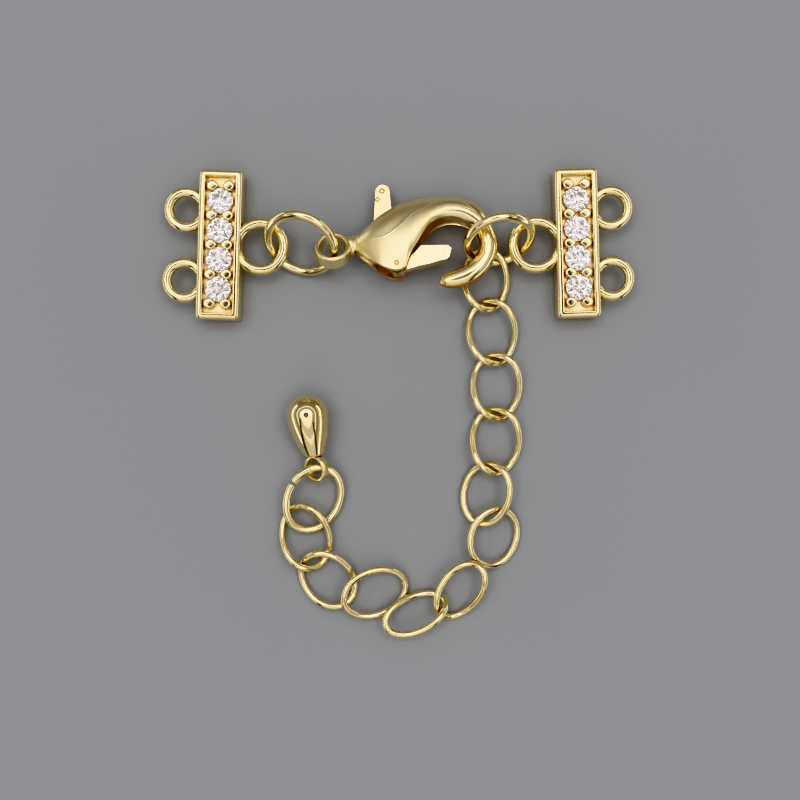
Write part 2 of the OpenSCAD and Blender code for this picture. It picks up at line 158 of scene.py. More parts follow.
# Spots on the claw and the lever for the painted shade in the throat and on the mouth's floor, the satin
# belly,
# wear and pits: each one's middle in mm, and its radius or where it fades from and to
THROAT = ((3.75, 10.9, 1.7), 3.0, 3.1)
MOUTH_FLOOR = ((-0.6, 9.8, 1.1), 1.581, 1.7)
BELLY = ((-1.4, 12.4, 3.0), 4.4, 8.0)
SHELL_WORN = (((0.16, 9.40, 1.2), 0.6),)
HUB_WORN = (((-0.2, 9.6, 1.9), 0.5),)
PIN_MARK = (((-0.25, 10.26, 3.48), 0.2),)
TAB_PITS = (((-1.72, 15.36, 1.61), 0.17), ((-1.39, 16.03, 1.49), 0.2))
# Brightness of what the camera sees beyond the table
BACKDROP = 0.34

# The gate's outline
GATE_EDGE = (
    (-1.3, -1.75), (-0.1, -1.30), (0.48, -0.62), (2.50, -0.62), (2.76, -0.84), (2.62, -1.50),
    (2.42, -1.70), (1.92, -1.80), (1.15, -2.04), (0.38, -2.20), (-0.38, -2.42), (-1.3, -2.7),
)

# The chain's links: middle x and y, heading, half length and half width of the wire's centre line, how far
# the front end rises, the left side rises and the ends twist, and how much wider the front is
LINKS = (
    (6.60, 9.30, -87, 2.32, 1.65, 0.10, 0.00, 0.90, 0.0),
    (7.10, 5.25, -84, 2.43, 1.80, 0.00, 0.00, 1.00, 0.0),
    (7.45, 1.05, -90, 2.45, 1.80, 0.00, 0.00, 1.00, 0.0),
    (7.40, -3.15, -91, 2.45, 1.80, 0.15, 0.00, 1.00, 0.0),
    (6.65, -7.25, -103, 2.35, 1.70, -0.20, 0.70, 0.25, 0.0),
    (7.25, -10.60, -110, 2.25, 1.80, 0.00, -0.55, 0.00, 0.0),
    (4.65, -14.70, -126, 2.40, 1.50, -0.45, -0.20, 0.75, 0.0),
    (1.20, -16.45, -158, 2.45, 1.25, 0.30, 0.55, 0.50, 0.1),
    (-1.95, -14.90, -160, 2.45, 1.75, 0.40, -0.45, 0.10, 0.0),
    (-5.60, -13.90, 135, 2.35, 1.80, 0.15, -0.15, 0.65, 0.0),
    (-7.30, -10.60, 105, 2.45, 1.80, 0.00, -0.05, 0.90, 0.0),
)
END_ROW = (-6.68, -7.62, 62, 2.55, 1.95, 0.10, 0.50, 0.10, 0.0)
END_GAP_AT = 82
END_GAP = 4
END_ROUNDING = 0.07
# Share of the solids' wire, so that the round wires stay inside the solids' box
WIRE_SHARE = 0.98

# The drop: middle of its ball, heading of its axis, slope of the axis down to its eye, and the eye
DROP_AT = (-7.12, -1.10)
DROP_HEADING = -80.5
DROP_SLOPE = 6
DROP_BALL_AT = 1.5
DROP_NECK_R = 0.72
DROP_EYE_OD = 2.14
DROP_EYE_WALL = 0.3
DROP_EYE_W = 0.62
DROP_EYE_TURN = 40
DROP_EYE_SINK = 0.1


def length(name, description, default):
    """A length property in metres, from a size in mm."""
    return FloatProperty(name=name, description=description, default=default * MM, min=0.0, precision=5,
                         subtype="DISTANCE", unit="LENGTH")


def colour(name, description, default):
    """A colour property."""
    return FloatVectorProperty(name=name, description=description, default=default, size=3, min=0.0, max=1.0,
                               subtype="COLOR")


class BarSizes(bpy.types.PropertyGroup):
    long: length("Length", "Length of an end bar", 11.45)
    wide: length("Width", "Width of an end bar", 3.35)
    high: length("Height", "Height of an end bar", 2.0)
    rim: length("Rim Width", "Width of the rim round the channel", 0.53)
    channel: length("Channel Depth", "Depth of the channel below the rim", 0.5)
    corner: length("Corner Radius", "Radius of the outer corners seen from above", 0.4)
    loop_z: length("Loop Height", "Height of the loops' wire centres above the table", 1.45)
    strand_od: length("Strand Loop", "Outer diameter of a strand loop", 3.48)
    strand_wire: length("Strand Loop Wire", "Wire of a strand loop", 0.78)
    inner_od: length("Inner Loop", "Outer diameter of the loop that holds a jump ring", 4.4)
    inner_wire: length("Inner Loop Wire", "Wire of the inner loop", 0.8)


class StoneSizes(bpy.types.PropertyGroup):
    across: length("Diameter", "Girdle diameter of a stone", 2.0)
    pitch: length("Pitch", "Distance from one stone to the next", 2.25)
    table: FloatProperty(name="Table", description="Width of the table as a share of the girdle",
                         default=0.57, min=0.4, max=0.7, subtype="FACTOR")
    tint: colour("Tint", "Colour of the stones", (1.0, 0.97, 0.95))
    blush: colour("Blush", "Second tint that clouds the stones", (1.0, 0.94, 0.93))


class RingSizes(bpy.types.PropertyGroup):
    left_od: length("Left Ring", "Outer diameter of the left jump ring", 5.94)
    right_od: length("Right Ring", "Outer diameter of the right jump ring", 5.68)
    wire: length("Wire", "Wire of a jump ring", 0.7)


class ClawSizes(bpy.types.PropertyGroup):
    lever: length("Lever Thickness", "Thickness of the lever's plate", 1.1)
    pin: length("Pin", "Diameter of the lever's pin", 0.5)
    eye_od: length("Eye", "Outer diameter of the claw's eye", 2.76)
    eye_wall: length("Eye Wall", "Wall of the claw's eye", 0.37)
    eye_h: length("Eye Height", "Height of the claw's eye", 1.2)


class ChainSizes(bpy.types.PropertyGroup):
    link_wire: length("Link Wire", "Wire of a chain link", 0.53)
    end_wire: length("End Ring Wire", "Wire of the end ring", 0.62)
    drop_d: length("Drop Diameter", "Largest diameter of the drop", 3.2)
    drop_l: length("Drop Length", "Length of the drop without its eye", 4.75)


class FinishSettings(bpy.types.PropertyGroup):
    gold: colour("Gold", "Colour of the polished plating", (0.97, 0.87, 0.60))
    deep_gold: colour("Deep Gold", "Colour of the plating where it is thicker", (0.95, 0.83, 0.52))
    # Painted highlight: this colour is put along the claw's crease.
    crease_highlight: colour("Crease Highlight", "Colour of the highlight painted along the claw's crease", (1.0, 0.93, 0.76))
    # The next two colours are painted shade in the hollows and next to nearby parts; the second also goes on
    # the claw's throat walls and mouth floor.
    hollow_shade: colour("Hollow Shade", "Colour of the shade painted in the hollows", (0.50, 0.23, 0.05))
    deep_shade: colour("Deep Shade", "Colour of the dull wall in the claw's throat", (0.52, 0.21, 0.05))
    copper: colour("Bare Copper", "Colour where the plating has worn through", (0.86, 0.42, 0.27))
    pit: colour("Pit", "Colour of the rims of the small pits", (0.25, 0.15, 0.05))
    roughness: FloatProperty(name="Roughness", description="Roughness of the polished plating", default=0.09,
                             min=0.0, max=1.0, subtype="FACTOR")


class StageSettings(bpy.types.PropertyGroup):
    floor: colour("Floor", "Colour of the table", (0.466, 0.472, 0.486))
    light: FloatProperty(name="Light", description="Strength of the studio light", default=1.0, min=0.0)
    camera_height: length("Camera Height", "Height of the camera above the table", 80)
    view_width: length("View Width", "Width of the table that the camera sees", 62.5)
    floor_size: length("Floor Size", "Side of the square table", 3000)


def in_mm(value):
    """A length property's value in mm."""
    return value / MM


def cos_deg(angle):
    return math.cos(math.radians(angle))


def sin_deg(angle):
    return math.sin(math.radians(angle))


def turn(angle, axis):
    return Matrix.Rotation(math.radians(angle), 4, axis)


def place(at, *turns):
    """A place in mm, followed by turns."""
    made = Matrix.Translation(Vector(at))
    for one in turns:
        made = made @ one
    return made


def maths(operation, swapped=False):
    """A method of Value that adds a Math node for an operation."""
    def method(self, *other):
        terms = (*other, self) if swapped else (self, *other)
        return self.recipe.node("ShaderNodeMath", {"operation": operation}, dict(enumerate(terms)))

    return method


class Value:
    """One socket of a node tree. Arithmetic on it adds Math nodes to the tree."""

    def __init__(self, recipe, socket):
        self.recipe = recipe
        self.socket = socket

    __add__ = maths("ADD")
    __radd__ = maths("ADD", True)
    __sub__ = maths("SUBTRACT")
    __rsub__ = maths("SUBTRACT", True)
    __mul__ = maths("MULTIPLY")
    __rmul__ = maths("MULTIPLY", True)
    __truediv__ = maths("DIVIDE")
    __rtruediv__ = maths("DIVIDE", True)
    __abs__ = maths("ABSOLUTE")
    most = maths("MAXIMUM")


class Recipe:
    """The node tree of one finish or of the world."""

    def __init__(self, tree):
        self.tree = tree
        tree.nodes.clear()

    def node(self, kind, settings=None, sockets=None, output=0):
        """Adds a node of a kind, with its settings set first and then its sockets' values or links."""
        made = self.tree.nodes.new(kind)
        for key, value in (settings or {}).items():
            setattr(made, key, value)
        for key, value in (sockets or {}).items():
            socket = made.inputs[key]
            if isinstance(value, Value):
                self.tree.links.new(value.socket, socket)
            else:
                socket.default_value = value
        return Value(self, made.outputs[output]) if len(made.outputs) else made

    def mix(self, factor, a, b):
        """A colour between two colours."""
        a, b = (shade if isinstance(shade, Value) else (*shade, 1.0) for shade in (a, b))
        return self.node("ShaderNodeMix", {"data_type": "RGBA"}, {0: factor, 6: a, 7: b}, 2)

    def vector(self, operation, a, b, output=0):
        return self.node("ShaderNodeVectorMath", {"operation": operation}, {0: a, 1: b}, output)

    def away(self, where, spot):
        """Distance in metres from a spot given in mm."""
        return self.vector("DISTANCE", where, tuple(v * MM for v in spot), 1)

    def around(self, where, spot, inner, outer):
        """A mask that is 1 round a spot and fades to 0 between two radii, all in mm."""
        return self.ramp(self.away(where, spot), inner * MM, outer * MM, 1.0, 0.0)

    def ramp(self, value, low, high, at_low=0.0, at_high=1.0):
        """Smooth step of a value from low to high."""
        return self.node("ShaderNodeMapRange", {"interpolation_type": "SMOOTHSTEP"},
                         {0: value, 1: low, 2: high, 3: at_low, 4: at_high})

    def noise(self, where, scale, detail=2.0, roughness=0.5):
        return self.node("ShaderNodeTexNoise", {},
                         {"Vector": where, "Scale": scale, "Detail": detail, "Roughness": roughness})


def new_recipe(name):
    material = bpy.data.materials.new(name)
    material.use_nodes = True
    return material, Recipe(material.node_tree)


def gold_finish(name, polish=1.0, grain=1.0, worn=(), pits=(), deep=0.0, claw=False, floor=None):
    """Polished gold plating, with painted orange-brown shade in the hollows and next to nearby parts. worn
    and pits are spots and their radii in mm, and floor is the height in mm of a rough cast floor. The claw
    also gets a highlight painted along its crease, a satin belly, and rougher, less metallic walls in its
    throat and its mouth with painted brown shade."""
    finish = bpy.context.scene.clasp_finish
    material, r = new_recipe(name)
    where = r.node("ShaderNodeTexCoord", {}, {}, 3)
    broad = r.noise(where, 420.0, 2.0)
    fine = r.noise(where, 5200.0, 3.0, 0.6)
    micro = r.noise(where, 21000.0, 2.0)
    stretched = r.vector("MULTIPLY", where, (2200.0, 26000.0, 9000.0))
    hairs = r.ramp(r.noise(stretched, 1.0, 2.0), 0.60, 0.74)
    tone = r.mix(r.ramp(broad * 0.8 + fine * 0.2 + deep, 0.35, 0.68), finish.gold, finish.deep_gold)
    rough = finish.roughness * polish * (0.72 + fine * 0.55) + hairs * 0.05
    height = fine * 0.5 + micro * 0.18 - hairs * 0.12
    open_share = r.node("ShaderNodeAmbientOcclusion", {"samples": 6}, {"Distance": 0.0003}, 1)
    if floor:
        level = r.node("ShaderNodeSeparateXYZ", {}, {0: where}, 2)
        cast = r.ramp(level, (floor - 0.06) * MM, (floor - 0.02) * MM)
        cast = cast * r.ramp(level, (floor + 0.02) * MM, (floor + 0.06) * MM, 1.0, 0.0)
        rough = rough + cast * 0.28
        height = height + cast * micro * 0.8
    # Painted shade: an orange-brown where the AO node finds surfaces within 0.3 mm, and a darker brown where
    # they close in further.
    tone = r.mix(r.ramp(open_share, 0.40, 0.78), finish.hollow_shade, tone)
    tone = r.mix(r.ramp(open_share, 0.04, 0.30), finish.deep_shade, tone)
    metal = 1.0
    if claw:
        line = r.node("ShaderNodeAttribute", {"attribute_name": CREASE_LINE}, {}, 2)
        # Painted highlight: a paler colour along the crease, which also gets a lower roughness and a raised
        # bump.
        tone = r.mix(r.ramp(line, 0.1, 0.6), tone, finish.crease_highlight)
        rough = rough * (1.0 - line * 0.5)
        height = height + line * 4.0
        # Painted shade: walls in the throat and the floor of the mouth, picked by where they are and how they
        # face, get a dark brown colour, and are also made rougher and less metallic.
        facing = r.vector("DOT_PRODUCT", r.node("ShaderNodeTexCoord", {}, {}, 1),
                          tuple(claw_matrix().col[2][:3]), 1)
        wall = r.ramp(abs(facing), 0.3, 0.62, 1.0, 0.0) * r.around(where, *THROAT)
        mouth = r.ramp(facing, 0.2, 0.6) * r.around(where, *MOUTH_FLOOR)
        shaded_dull = (wall * (0.7 + fine * 0.4)).most(mouth * (0.75 + fine * 0.3))
        tone = r.mix(shaded_dull, tone, finish.deep_shade)
        rough = rough + shaded_dull * 0.22
        metal = 1.0 - shaded_dull * 0.55
        rough = rough + r.around(where, *BELLY) * 0.2 * (1.0 - line)
    for spot, radius in worn:
        bare = r.ramp(r.away(where, spot) / (radius * MM) + fine * 0.5 - 0.25, 0.75, 1.05, 1.0, 0.0)
        tone = r.mix(bare, tone, finish.copper)
        rough = rough + bare * 0.12
    for spot, radius in pits:
        ring = abs(r.away(where, spot) / (radius * MM) - 0.8)
        rim = r.ramp(ring, 0.1, 0.4, 1.0, 0.0)
        tone = r.mix(rim * 0.85, tone, finish.pit)
        height = height - rim * 1.6
    bump = r.node("ShaderNodeBump", {}, {"Strength": 0.16 * grain, "Distance": 0.00004, "Height": height})
    shader = r.node("ShaderNodeBsdfPrincipled", {}, {
        "Base Color": tone, "Metallic": metal, "Roughness": rough, "Normal": bump})
    r.node("ShaderNodeOutputMaterial", {}, {"Surface": shader})
    return material


def stone_finish(name):
    """Clear cut stone with a very faint tint, and a faint glow that stands in for light from a wider room."""
    sizes = bpy.context.scene.clasp_stones
    material, r = new_recipe(name)
    where = r.node("ShaderNodeTexCoord", {}, {}, 3)
    cloud = r.noise(where, 1400.0, 2.0)
    tone = r.mix(r.ramp(cloud, 0.4, 0.65), sizes.tint, sizes.blush)
    film = r.noise(where, 5000.0, 2.0)
    shader = r.node("ShaderNodeBsdfPrincipled", {}, {
        "Base Color": tone, "Metallic": 0.0, "Roughness": r.ramp(film, 0.4, 0.8, 0.0, 0.02),
        "IOR": 2.15, "Transmission Weight": 0.9, "Emission Color": tone, "Emission Strength": 0.03})
    r.node("ShaderNodeOutputMaterial", {}, {"Surface": shader})
    return material


def grid_faces(rows, columns, wrap_rows=False):
    """Faces between rings of points: rows of closed rings with the same number of points."""
    faces = []
    last = rows if wrap_rows else rows - 1
    for i in range(last):
        a = i * columns
        b = ((i + 1) % rows) * columns
        for k in range(columns):
            k2 = (k + 1) % columns
            faces.append((a + k, a + k2, b + k2, b + k))
    return faces


@contextlib.contextmanager
def reshaped(mesh):
    """Gives a mesh's shape for changes, and puts it back into the mesh."""
    shape = bmesh.new()
    shape.from_mesh(mesh)
    yield shape
    shape.to_mesh(mesh)
    shape.free()


def new_object(name, mesh):
    made = bpy.data.objects.new(name, mesh)
    bpy.context.scene.collection.objects.link(made)
    return made


def object_from(name, points, faces, matrix=None):
    """A mesh object from points in mm, with its faces turned outwards."""
    mesh = bpy.data.meshes.new(name)
    if matrix is not None:
        points = [matrix @ Vector(p) for p in points]
    mesh.from_pydata([Vector(p) for p in points], [], faces)
    with reshaped(mesh) as shape:
        bmesh.ops.recalc_face_normals(shape, faces=shape.faces)
    return new_object(name, mesh)


def loft(name, rings, wrap=False, matrix=None):
    """A skin over closed rings of points, with its ends closed unless it wraps round."""
    columns = len(rings[0])
    points = [p for ring in rings for p in ring]
    faces = grid_faces(len(rings), columns, wrap)
    if not wrap:
        faces.append(tuple(range(columns - 1, -1, -1)))
        start = (len(rings) - 1) * columns
        faces.append(tuple(range(start, start + columns)))
    return object_from(name, points, faces, matrix)


def wire(name, path, d, sides=20, closed=True, matrix=None, end_round=0.0):
    """Round wire along a path."""
    path = np.array(path, float)
    n = len(path)
    rings = []
    for i in range(n):
        ahead = path[(i + 1) % n] if closed else path[min(i + 1, n - 1)]
        behind = path[(i - 1) % n] if closed else path[max(i - 1, 0)]
        along = (ahead - behind) / np.linalg.norm(ahead - behind)
        side = np.cross(along, (0, 0, 1))
        side /= np.linalg.norm(side)
        up = np.cross(side, along)
        rings.append([path[i] + d / 2 * (side * math.cos(a) + up * math.sin(a))
                      for a in np.linspace(0, 2 * math.pi, sides, endpoint=False)])
    if not closed:
        for _ in range(2):
            rings = rounded_end(rings, path, end_round)[::-1]
            path = path[::-1]
    return loft(name, rings, wrap=closed, matrix=matrix)


def rounded_end(rings, path, radius):
    """Adds shrinking rings so that a wire's last end has a rounded rim."""
    end = np.array(rings[-1])
    middle = path[-1]
    out = path[-1] - path[-2]
    out = out / np.linalg.norm(out)
    r = np.linalg.norm(end[0] - middle)
    extra = []
    for a in (30, 60, 90):
        share = (r - radius * (1 - cos_deg(a))) / r
        extra.append([middle + (p - middle) * share + out * radius * (sin_deg(a) - 1) for p in end])
    return rings[:-1] + [[p - out * radius for p in end]] + extra


def lathe(name, profile, segments=64, matrix=None, closed=False):
    """Turns (radius, height) points about the local Z axis. A closed profile gives a ring, and a point on
    the axis at either end gives a pole."""
    turned = [p for p in profile if p[0] > 0.0]
    points = [(radius * cos_deg(360 * k / segments), radius * sin_deg(360 * k / segments), height)
              for radius, height in turned for k in range(segments)]
    faces = grid_faces(len(turned), segments, closed)
    ends = [] if closed else [(0, profile[0]), ((len(turned) - 1) * segments, profile[-1])]
    for start, end in ends:
        if end[0] == 0.0:
            points.append((0.0, 0.0, end[1]))
            pole = len(points) - 1
            faces += [(start + k, start + (k + 1) % segments, pole) for k in range(segments)]
        else:
            faces.append(tuple(range(start, start + segments)))
    return object_from(name, points, faces, matrix)


def torus(name, od, d, matrix, steps=96, sides=24):
    r = (od - d) / 2
    path = [(r * math.cos(a), r * math.sin(a), 0) for a in np.linspace(0, 2 * math.pi, steps, endpoint=False)]
    return wire(name, path, d, sides, True, matrix)


def remove(thing):
    mesh = thing.data
    bpy.data.objects.remove(thing)
    bpy.data.meshes.remove(mesh)


def joined(name, things):
    """One object from the meshes of several."""
    mesh = bpy.data.meshes.new(name)
    with reshaped(mesh) as shape:
        for one in things:
            shape.from_mesh(one.data)
            remove(one)
    return new_object(name, mesh)


def combine(piece, tool, operation, overlapping=False):
    """Joins a tool to a piece, or cuts it away, and removes the tool."""
    change = piece.modifiers.new("combine", "BOOLEAN")
    change.operation = operation
    change.solver = "EXACT"
    change.use_self = overlapping
    change.object = tool
    bpy.context.view_layer.update()
    graph = bpy.context.evaluated_depsgraph_get()
    mesh = bpy.data.meshes.new_from_object(piece.evaluated_get(graph))
    old = piece.data
    piece.modifiers.clear()
    piece.data = mesh
    mesh.name = piece.name
    bpy.data.meshes.remove(old)
    remove(tool)
    if not piece.data.polygons:
        raise RuntimeError(f"{piece.name}: nothing is left after a cut")


def tidy(piece):
    """Welds points that lie on each other after a cut."""
    merge = 0.0015
    with reshaped(piece.data) as shape:
        bmesh.ops.remove_doubles(shape, verts=shape.verts, dist=merge)
        bmesh.ops.dissolve_degenerate(shape, edges=shape.edges, dist=merge)
        loose = [v for v in shape.verts if not v.link_faces]
        bmesh.ops.delete(shape, geom=loose, context="VERTS")


def smooth(piece, angle=180.0):
    """Smooth shading, with edges kept sharp above an angle."""
    mesh = piece.data
    mesh.polygons.foreach_set("use_smooth", [True] * len(mesh.polygons))
    if angle < 180.0:
        mesh.set_sharp_from_angle(angle=math.radians(angle))
    mesh.update()


def finish_piece(piece, material, body, slot, *nodes):
    """Brings a piece from mm to metres, gives it its material and its body, and hides the CAD nodes it stands
    for.
    """
    piece.data.transform(Matrix.Scale(MM, 4))
    piece.data.materials.clear()
    piece.data.materials.append(material)
    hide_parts(*nodes)
    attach(piece, body)


def rounded_rectangle(half_w, half_l, radius, z, corner_steps=8, side_steps=10):
    """Points round a rectangle with rounded corners, counter-clockwise."""
    radius = max(radius, 0.004)
    points = []
    corners = ((1, 1, 0), (-1, 1, 90), (-1, -1, 180), (1, -1, 270))
    for index, (sx, sy, start) in enumerate(corners):
        cx = sx * (half_w - radius)
        cy = sy * (half_l - radius)
        for k in range(corner_steps + 1):
            a = start + 90 * k / corner_steps
            points.append((cx + radius * cos_deg(a), cy + radius * sin_deg(a), z))
        nx, ny, nstart = corners[(index + 1) % 4]
        last = points[-1]
        following = (nx * (half_w - radius) + radius * cos_deg(nstart),
                     ny * (half_l - radius) + radius * sin_deg(nstart))
        for k in range(1, side_steps):
            t = k / side_steps
            points.append((last[0] + (following[0] - last[0]) * t, last[1] + (following[1] - last[1]) * t, z))
    return points


def bar_body(name, sizes, matrix):
    """The bar's block: rounded outer edges, a soft rim and a sunk channel."""
    half_w = in_mm(sizes.wide) / 2
    half_l = in_mm(sizes.long) / 2
    high = in_mm(sizes.high)
    rim = in_mm(sizes.rim)
    corner = in_mm(sizes.corner)
    floor = high - in_mm(sizes.channel)
    outer_w = 0.36
    outer_h = 0.30
    inner_r = 0.10
    fillet = 0.05
    # Inset and height of each ring, from the foot over the rim to the channel's floor
    steps = [(0.16, 0.0), (0.06, 0.03), (0.0, 0.14)]
    steps += [(0.0, z) for z in np.linspace(0.4, high - outer_h, 6)]
    steps += [(outer_w * (1 - cos_deg(a)), high - outer_h * (1 - sin_deg(a))) for a in range(9, 91, 9)]
    steps += [(rim - inner_r * (1 - sin_deg(a)), high - inner_r * (1 - cos_deg(a))) for a in range(0, 91, 15)]
    steps += [(rim + fillet * (1 - cos_deg(a)), floor + fillet * (1 - sin_deg(a))) for a in range(0, 91, 30)]
    rings = []
    for inset, z in steps:
        rings.append(rounded_rectangle(half_w - inset, half_l - inset, corner * (1 - inset / rim * 0.93), z))
    return loft(name, rings, matrix=matrix)


def prong_tool(name, way, at):
    """A prong that narrows towards the middle of the bar, with a flat top and a round rim."""
    turned = math.degrees(math.acos((PRONG_TIP_R - PRONG_R) / PRONG_TIP_OUT))
    outline = [(PRONG_R * cos_deg(a), PRONG_R * sin_deg(a)) for a in np.linspace(-turned, turned, 24)]
    outline += [(PRONG_TIP_R * cos_deg(a) - PRONG_TIP_OUT, PRONG_TIP_R * sin_deg(a))
                for a in np.linspace(turned, 360 - turned, 10)]
    middle = -PRONG_TIP_OUT * 0.35
    rings = [[(way * (middle + (x - middle) * share), y * share, z) for x, y in outline]
             for share, z in ((1.0, -0.05), *PRONG_ROUNDING)]
    return loft(name, rings, matrix=at)


def seat_tool(name, r, at):
    """Room for a stone: pavilion, girdle, crown and the space above the table."""
    top_r = r * 0.66
    profile = [(0.06, -GIRDLE_H - SEAT_GAP - PAVILION_H), (r, -GIRDLE_H - SEAT_GAP), (r, 0.0),
               (top_r, CROWN_H), (top_r, 1.5)]
    return lathe(name, profile, 64, at)


def stone_y(i, pitch):
    return (STONE_COUNT / 2 - i + 0.5) * pitch


def end_bar(name, place_of):
    """One end bar with its loops, its channel, its prongs and its stone seats."""
    sizes = bpy.context.scene.clasp_bars
    stones = bpy.context.scene.clasp_stones
    half_w = in_mm(sizes.wide) / 2
    side = place_of["side"]
    base = place(place_of["at"], turn(place_of["turn"], "Z"))
    pitch = in_mm(stones.pitch)
    floor = in_mm(sizes.high) - in_mm(sizes.channel)
    loop_z = in_mm(sizes.loop_z)
    piece = bar_body(name, sizes, base)
    rings = [(side * (half_w + STRAND_LOOP_OUT), y, sizes.strand_od, sizes.strand_wire)
             for y in STRAND_LOOP_Y]
    rings.append((-side * (half_w + INNER_LOOP_OUT), 0, sizes.inner_od, sizes.inner_wire))
    stubs = joined("loops", [torus("loop", in_mm(od), in_mm(d), base @ place((x, y, loop_z)))
                             for x, y, od, d in rings])
    inside = half_w - in_mm(sizes.rim) / 2
    trim = rounded_rectangle(inside, in_mm(sizes.long), 0.05, 0.0)
    combine(stubs, prism("trim", [p[:2] for p in trim], 3.0, base), "DIFFERENCE")
    combine(piece, stubs, "UNION")
    prongs = [prong_tool("prong", way, base @ place((way * PRONG_OUT, (STONE_COUNT / 2 - i) * pitch, floor)))
              for i in range(STONE_COUNT + 1) for way in (-1, 1)]
    combine(piece, joined("prongs", prongs), "UNION")
    girdle_z = in_mm(sizes.high) - GIRDLE_DROP
    seats = [seat_tool("seat", in_mm(stones.across) / 2 + SEAT_GAP,
                       base @ place((0, stone_y(i, pitch), girdle_z)))
             for i in range(1, STONE_COUNT + 1)]
    combine(piece, joined("seats", seats), "DIFFERENCE")
    tidy(piece)
    smooth(piece, 32)
    return piece


def brilliant(name, matrix):
    """A round brilliant of fifty-seven facets with the girdle's top at z = 0."""
    sizes = bpy.context.scene.clasp_stones
    r = in_mm(sizes.across) / 2
    table = sizes.table
    star = 0.80
    lower = 0.24
    star_z = CROWN_H * (1 - star * cos_deg(22.5)) / (1 - table)
    depth = PAVILION_H
    lower_z = -GIRDLE_H - depth * (1 - lower * cos_deg(22.5))
    points = []
    for share, z, start, count in ((table, CROWN_H, 0, 8), (star, star_z, 22.5, 8), (1, 0, 0, 16),
                                   (1, -GIRDLE_H, 0, 16), (lower, lower_z, 22.5, 8)):
        for k in range(count):
            a = start + 360 * k / count
            points.append((r * share * cos_deg(a), r * share * sin_deg(a), z))
    t0, s0, g0, l0, p0 = 0, 8, 16, 32, 48
    culet = len(points)
    points.append((0, 0, -GIRDLE_H - depth))
    faces = [tuple(range(8))]
    for k in range(8):
        before = (k + 7) % 8
        after = (2 * k + 2) % 16
        faces += [(t0 + k, t0 + (k + 1) % 8, s0 + k),
                  (t0 + k, s0 + k, g0 + 2 * k, s0 + before),
                  (s0 + k, g0 + 2 * k + 1, g0 + 2 * k),
                  (s0 + k, g0 + after, g0 + 2 * k + 1),
                  (p0 + k, l0 + 2 * k, l0 + 2 * k + 1),
                  (p0 + k, l0 + 2 * k + 1, l0 + after),
                  (culet, p0 + before, l0 + 2 * k, p0 + k)]
    for k in range(16):
        faces.append((g0 + k, g0 + (k + 1) % 16, l0 + (k + 1) % 16, l0 + k))
    return object_from(name, points, faces, matrix)


def row_at(rows, u):
    """The row at a place along the rows, on a smooth curve through them."""
    n = len(rows) - 1
    i = min(int(u), n - 1)
    a, b, c, d = (rows[k] for k in (max(i - 1, 0), i, i + 1, min(i + 2, n)))
    t = u - i
    return 0.5 * (2 * b + (c - a) * t + (2 * a - 5 * b + 4 * c - d) * t * t
                  + (3 * b - a - 3 * c + d) * t * t * t)


def claw_section(row, crease_at, crease, groove):
    """Points round one section of the claw, from the outer edge over the top to the inner edge and back. The
    shoulder is hollowed next to the crease, and the inner edge has a groove; both depths are in mm."""
    outer = np.array(row[0:2])
    inner = np.array(row[2:4])
    half, edge, ridge = row[4:7]
    upper = []
    share = min(crease_at / ridge, 0.96)
    turned = math.degrees(math.acos(1 - share))
    beside = CREASE_LINE_HALF / np.linalg.norm(inner - outer) / ridge
    before = math.degrees(math.acos(1 - share + beside))
    after = math.degrees(math.acos(max(1 - share - beside, 0.025)))
    for a in (*np.linspace(0, before, CREASE_POINT), turned):
        t = (1 - cos_deg(a)) / share
        upper.append((ridge * (1 - cos_deg(a)), half * sin_deg(a) - crease * 4 * (t ** 4 - t ** 8)))
    for a in np.linspace(after, 89, 8):
        upper.append((ridge * (1 - cos_deg(a)), half * sin_deg(a)))
    for a in np.linspace(0, 90, 14):
        upper.append((ridge + (1 - ridge) * sin_deg(a),
                      half * math.sqrt(1 - (1 - edge * edge) * sin_deg(a) ** 2)))
    wall = half * edge
    width = np.linalg.norm(inner - outer)
    soft = min(0.05, wall * 0.4) / width
    upper[-1] = (1 - soft, upper[-1][1])
    upper.append((1 - soft * 0.3, wall - soft * width * 0.3))
    upper.append((1.0, wall - soft * width))
    lip = wall - soft * width - LIP
    for a in np.linspace(90, 15, 6):
        upper.append((1 - groove / width * cos_deg(a), lip * sin_deg(a)))
    lower = [(s, -z) for s, z in upper[:0:-1]]
    return [(*(outer + s * (inner - outer)), z) for s, z in upper + lower]


def groove_depth(u):
    """Depth of the inner groove at a place along the claw's rows: it runs round the throat only."""
    rising = min(max((u - 7.5) / 2.0, 0.0), 1.0)
    falling = min(max((18.5 - u) / 3.0, 0.0), 1.0)
    share = min(rising, falling)
    return GROOVE_DEPTH * share * share * (3 - 2 * share)


def hull(points):
    """Convex outline of points in a plane."""
    points = sorted(set((round(x, 6), round(y, 6)) for x, y in points))

    def half(ordered):
        chain = []
        for p in ordered:
            while len(chain) > 1:
                (ax, ay), (bx, by) = chain[-2:]
                if (bx - ax) * (p[1] - ay) - (by - ay) * (p[0] - ax) > 0:
                    break
                chain.pop()
            chain.append(p)
        return chain[:-1]

    return half(points) + half(points[::-1])


def circle(at, r, count=32):
    angles = [360 * k / count for k in range(count)]
    return [(at[0] + r * cos_deg(a), at[1] + r * sin_deg(a)) for a in angles]


def about_pin(points, angle):
    px, py = PIN_AT
    c = cos_deg(angle)
    s = sin_deg(angle)
    return [(px + (x - px) * c - (y - py) * s, py + (x - px) * s + (y - py) * c) for x, y in points]


def prism(name, outline, half, matrix):
    return loft(name, [[(x, y, z) for x, y in outline] for z in (-half, half)], matrix=matrix)


